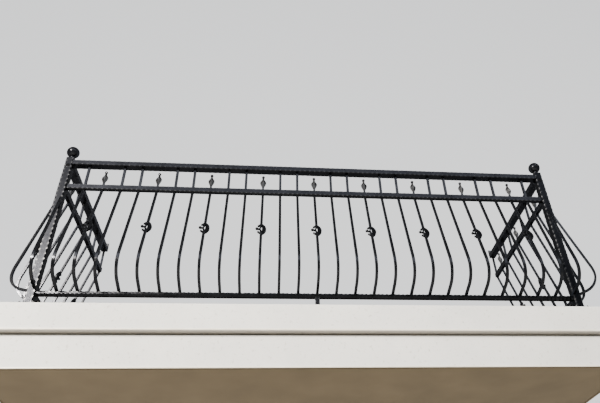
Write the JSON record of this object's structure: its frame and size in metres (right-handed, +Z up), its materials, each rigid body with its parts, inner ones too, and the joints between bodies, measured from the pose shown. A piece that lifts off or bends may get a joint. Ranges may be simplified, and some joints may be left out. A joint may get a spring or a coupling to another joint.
{
  "type": "wrought iron balcony",
  "caption": "Balcony slab with a stepped rendered fascia, carrying a black iron balustrade of bellied bars, spear heads and crescent ornaments between ball-topped posts.",
  "frame": {"origin": "middle of the footprint at the underside of the slab", "axes": "+X along the front to the right as seen from the street, +Y from the street to the wall, +Z up"},
  "size_m": [3.771, 1.207, 1.584],
  "materials": {
    "iron": "satin black paint on hammered iron",
    "render": "fine white render",
    "soffit": "painted render",
    "concrete": "cast",
    "floor": "matt tile"
  },
  "bodies": {
    "root": {"concrete_slab": "concrete", "upper_fascia": "render", "lower_fascia": "render", "soffit_board": "soffit", "floor_finish": "floor", "left_post": "iron", "right_post": "iron", "left_ball_finial": "iron", "right_ball_finial": "iron", "left_base_plate": "iron", "right_base_plate": "iron", "centre_foot": "iron", "front_handrail": "iron", "front_mid_rail": "iron", "front_bottom_rail": "iron", "left_handrail": "iron", "left_mid_rail": "iron", "left_bottom_rail": "iron", "right_handrail": "iron", "right_mid_rail": "iron", "right_bottom_rail": "iron", "front_plain_bars": "iron", "front_spear_bars": "iron", "left_plain_bars": "iron", "left_spear_bars": "iron", "right_plain_bars": "iron", "right_spear_bars": "iron", "left_post_bars": "iron", "right_post_bars": "iron", "front_ornaments": "iron", "left_ornaments": "iron", "right_ornaments": "iron", "left_wall_flanges": "iron", "right_wall_flanges": "iron"}
  },
  "joints": []
}
